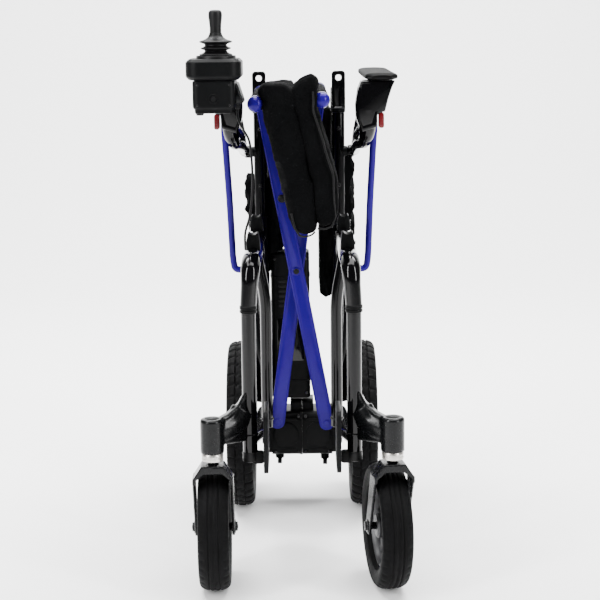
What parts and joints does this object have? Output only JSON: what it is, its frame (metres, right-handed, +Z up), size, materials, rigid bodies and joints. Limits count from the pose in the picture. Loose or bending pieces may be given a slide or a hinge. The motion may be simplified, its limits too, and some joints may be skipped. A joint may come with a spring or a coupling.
{
  "type": "folding power wheelchair",
  "caption": "Folding power wheelchair, standing folded: two side frames joined by a scissor, drive wheels behind, swivel casters in front, flip-up armrests and a joystick box.",
  "frame": {"origin": "on the floor under the middle of the folded chair's outline", "axes": "+Z up, the sitter faces -Y, +X is the sitter's left"},
  "size_m": [0.3488, 0.7978, 0.9056],
  "materials": {
    "frame_black": "gloss painted",
    "satin_black": "satin moulded",
    "fork_black": "satin painted",
    "blue": "metallic gloss paint",
    "silver": "brushed",
    "rim_grey": "satin",
    "tyre": "moulded tread",
    "fabric": "woven nylon",
    "arm_pad": "grained vinyl",
    "rubber": "satin rubber",
    "red": "gloss",
    "steel": "black oxide"
  },
  "bodies": {
    "left_side": {"left_side_frame": "frame_black", "left_back_post": "frame_black", "left_caster_housing": "fork_black", "left_bearing_cup": "silver", "left_drive_motor": "satin_black"},
    "left_caster": {"left_caster_fork": "fork_black"},
    "left_caster_wheel": {"left_caster_tyre": "tyre", "left_caster_rim": "rim_grey"},
    "left_drive_wheel": {"left_drive_tyre": "tyre", "left_drive_rim": "rim_grey"},
    "left_freewheel": {"left_freewheel_lever": "satin_black"},
    "left_armrest": {"left_armrest_shell": "frame_black", "left_armrest_pad": "arm_pad", "left_arm_post": "blue"},
    "left_latch": {"left_latch_button": "red"},
    "left_foot": {"left_footplate": "satin_black"},
    "left_back": {"left_back_panel": "fabric"},
    "left_cane": {"left_back_cane": "frame_black", "left_push_grip": "rubber"},
    "left_upper": {"left_upper_back": "fabric"},
    "left_seat": {"left_seat_pad": "fabric"},
    "right_side": {"right_side_frame": "frame_black", "right_back_post": "frame_black", "right_caster_housing": "fork_black", "right_bearing_cup": "silver", "right_drive_motor": "satin_black", "controller_cable": "rubber"},
    "right_caster": {"right_caster_fork": "fork_black"},
    "right_caster_wheel": {"right_caster_tyre": "tyre", "right_caster_rim": "rim_grey"},
    "right_drive_wheel": {"right_drive_tyre": "tyre", "right_drive_rim": "rim_grey"},
    "right_freewheel": {"right_freewheel_lever": "satin_black"},
    "right_armrest": {"right_armrest_shell": "frame_black", "right_armrest_pad": "arm_pad", "right_arm_post": "blue", "controller_housing": "satin_black", "controller_base": "satin_black"},
    "right_latch": {"right_latch_button": "red"},
    "right_foot": {"right_footplate": "satin_black"},
    "right_back": {"right_back_panel": "fabric"},
    "right_cane": {"right_back_cane": "frame_black", "right_push_grip": "rubber"},
    "right_upper": {"right_upper_back": "fabric"},
    "right_seat": {"right_seat_pad": "fabric"},
    "front_scissor": {"front_cross_member": "blue", "right_seat_rail": "blue", "pivot_bolt": "steel"},
    "rear_scissor": {"rear_cross_member": "blue", "left_seat_rail": "blue"},
    "battery": {"battery_case": "satin_black"},
    "joystick_gimbal": {"joystick_gimbal": "rim_grey"},
    "joystick": {"joystick_boot": "rubber", "joystick_knob": "rubber"},
    "power_key": {"power_button": "satin_black"},
    "faster_key": {"faster_button": "satin_black"},
    "slower_key": {"slower_button": "satin_black"}
  },
  "joints": [
    {"name": "left_caster_swivel", "type": "hinge", "parent": "left_side", "child": "left_caster", "pos_m": [0.1405, -0.3434, 0.22], "axis": [0, 0, 1], "continuous": true},
    {"name": "left_caster_spin", "type": "hinge", "parent": "left_caster", "child": "left_caster_wheel", "pos_m": [0.13424, -0.29884, 0.1], "axis": [0.9903, 0.1392, 0], "continuous": true},
    {"name": "left_drive_spin", "type": "hinge", "parent": "left_side", "child": "left_drive_wheel", "pos_m": [0.113, 0.1516, 0.1525], "axis": [1, 0, 0], "continuous": true},
    {"name": "left_freewheel_turn", "type": "hinge", "parent": "left_side", "child": "left_freewheel", "pos_m": [0.0435, 0.1476, 0.09], "axis": [0, 0, 1], "range_deg": [0, 90]},
    {"name": "left_armrest_flip", "type": "hinge", "parent": "left_side", "child": "left_armrest", "pos_m": [0.0875, 0.1016, 0.66], "axis": [-1, 0, 0], "range_deg": [0, 95]},
    {"name": "left_latch_press", "type": "slide", "parent": "left_armrest", "child": "left_latch", "axis": [-1, 0, 0], "range_m": [0, 0.003], "stiffness_N_per_m": 400},
    {"name": "left_footplate_flip", "type": "hinge", "parent": "left_side", "child": "left_foot", "pos_m": [0.0575, -0.3214, 0.2065], "axis": [0, -1, 0], "range_deg": [0, 90]},
    {"name": "left_back_hinge", "type": "hinge", "parent": "left_side", "child": "left_back", "pos_m": [0.055, 0.1046, 0.545], "axis": [0, 0, 1], "range_deg": [0, 84.1]},
    {"name": "left_cane_fold", "type": "hinge", "parent": "left_side", "child": "left_cane", "pos_m": [0.0715, 0.1156, 0.75], "axis": [1, 0, 0], "range_deg": [0, 160]},
    {"name": "left_upper_hinge", "type": "hinge", "parent": "left_cane", "child": "left_upper", "pos_m": [0.0715, 0.17694, 0.61802], "axis": [0, -0.342, 0.9397], "range_deg": [0, 84.1]},
    {"name": "right_caster_swivel", "type": "hinge", "parent": "right_side", "child": "right_caster", "pos_m": [-0.1375, -0.3434, 0.22], "axis": [0, 0, 1], "continuous": true},
    {"name": "right_caster_spin", "type": "hinge", "parent": "right_caster", "child": "right_caster_wheel", "pos_m": [-0.13828, -0.29841, 0.1], "axis": [0.9998, 0.0175, 0], "continuous": true},
    {"name": "right_drive_spin", "type": "hinge", "parent": "right_side", "child": "right_drive_wheel", "pos_m": [-0.11, 0.1516, 0.1525], "axis": [1, 0, 0], "continuous": true},
    {"name": "right_freewheel_turn", "type": "hinge", "parent": "right_side", "child": "right_freewheel", "pos_m": [-0.0405, 0.1556, 0.09], "axis": [0, 0, 1], "range_deg": [0, 90]},
    {"name": "right_armrest_flip", "type": "hinge", "parent": "right_side", "child": "right_armrest", "pos_m": [-0.0845, 0.1016, 0.66], "axis": [-1, 0, 0], "range_deg": [0, 95]},
    {"name": "right_latch_press", "type": "slide", "parent": "right_armrest", "child": "right_latch", "axis": [1, 0, 0], "range_m": [0, 0.003], "stiffness_N_per_m": 400},
    {"name": "right_footplate_flip", "type": "hinge", "parent": "right_side", "child": "right_foot", "pos_m": [-0.0545, -0.3214, 0.2065], "axis": [0, 1, 0], "range_deg": [0, 90]},
    {"name": "right_back_hinge", "type": "hinge", "parent": "right_side", "child": "right_back", "pos_m": [-0.052, 0.1046, 0.545], "axis": [0, 0, -1], "range_deg": [0, 84.1]},
    {"name": "right_cane_fold", "type": "hinge", "parent": "right_side", "child": "right_cane", "pos_m": [-0.0685, 0.1156, 0.75], "axis": [1, 0, 0], "range_deg": [0, 160]},
    {"name": "right_upper_hinge", "type": "hinge", "parent": "right_cane", "child": "right_upper", "pos_m": [-0.0685, 0.17694, 0.61802], "axis": [0, 0.342, -0.9397], "range_deg": [0, 84.1]},
    {"name": "frame_fold", "type": "hinge", "parent": "left_side", "child": "front_scissor", "pos_m": [0.0458, 0.0636, 0.174], "axis": [0, -1, 0], "range_deg": [0, 38], "deforming": ["left_seat_pad", "right_seat_pad"]},
    {"name": "crossing_pivot", "type": "hinge", "parent": "front_scissor", "child": "rear_scissor", "pos_m": [-0.006, 0.0716, 0.4515], "axis": [0, -1, 0], "range_deg": [-78.7, 0]},
    {"name": "right_member_hinge", "type": "hinge", "parent": "rear_scissor", "child": "right_side", "pos_m": [-0.0428, 0.0776, 0.174], "axis": [0, -1, 0], "range_deg": [0, 40.7]},
    {"name": "right_seat_hinge", "type": "hinge", "parent": "front_scissor", "child": "right_seat", "pos_m": [-0.06448, -0.1284, 0.7648], "axis": [0, -1, 0], "range_deg": [0, 36.7]},
    {"name": "left_seat_hinge", "type": "hinge", "parent": "rear_scissor", "child": "left_seat", "pos_m": [0.03621, -0.1284, 0.76978], "axis": [0, 1, 0], "range_deg": [0, 54.6]},
    {"name": "battery_slide", "type": "slide", "parent": "right_side", "child": "battery", "axis": [0, 1, 0], "range_m": [0, 0.12]},
    {"name": "joystick_roll", "type": "hinge", "parent": "right_armrest", "child": "joystick_gimbal", "pos_m": [-0.1213, -0.3224, 0.836], "axis": [0, 1, 0], "range_deg": [-14, 14], "stiffness_Nm_per_rad": 0.6},
    {"name": "joystick_pitch", "type": "hinge", "parent": "joystick_gimbal", "child": "joystick", "pos_m": [-0.1213, -0.3224, 0.836], "axis": [1, 0, 0], "range_deg": [-14, 14], "stiffness_Nm_per_rad": 0.6},
    {"name": "power_press", "type": "slide", "parent": "right_armrest", "child": "power_key", "axis": [0, 0, -1], "range_m": [0, 0.0015], "stiffness_N_per_m": 300},
    {"name": "faster_press", "type": "slide", "parent": "right_armrest", "child": "faster_key", "axis": [0, 0, -1], "range_m": [0, 0.0015], "stiffness_N_per_m": 300},
    {"name": "slower_press", "type": "slide", "parent": "right_armrest", "child": "slower_key", "axis": [0, 0, -1], "range_m": [0, 0.0015], "stiffness_N_per_m": 300}
  ],
  "couplings": [
    {"joint": "left_back_hinge", "follows": "frame_fold", "ratio": 2.2105},
    {"joint": "left_upper_hinge", "follows": "frame_fold", "ratio": 2.2105},
    {"joint": "right_back_hinge", "follows": "frame_fold", "ratio": 2.2105},
    {"joint": "right_upper_hinge", "follows": "frame_fold", "ratio": 2.2105},
    {"joint": "crossing_pivot", "follows": "frame_fold", "ratio": -2.0679},
    {"joint": "right_member_hinge", "follows": "frame_fold", "ratio": 1.0679},
    {"joint": "right_seat_hinge", "follows": "frame_fold", "ratio": 0.96316},
    {"joint": "left_seat_hinge", "follows": "frame_fold", "ratio": 1.4342}
  ]
}
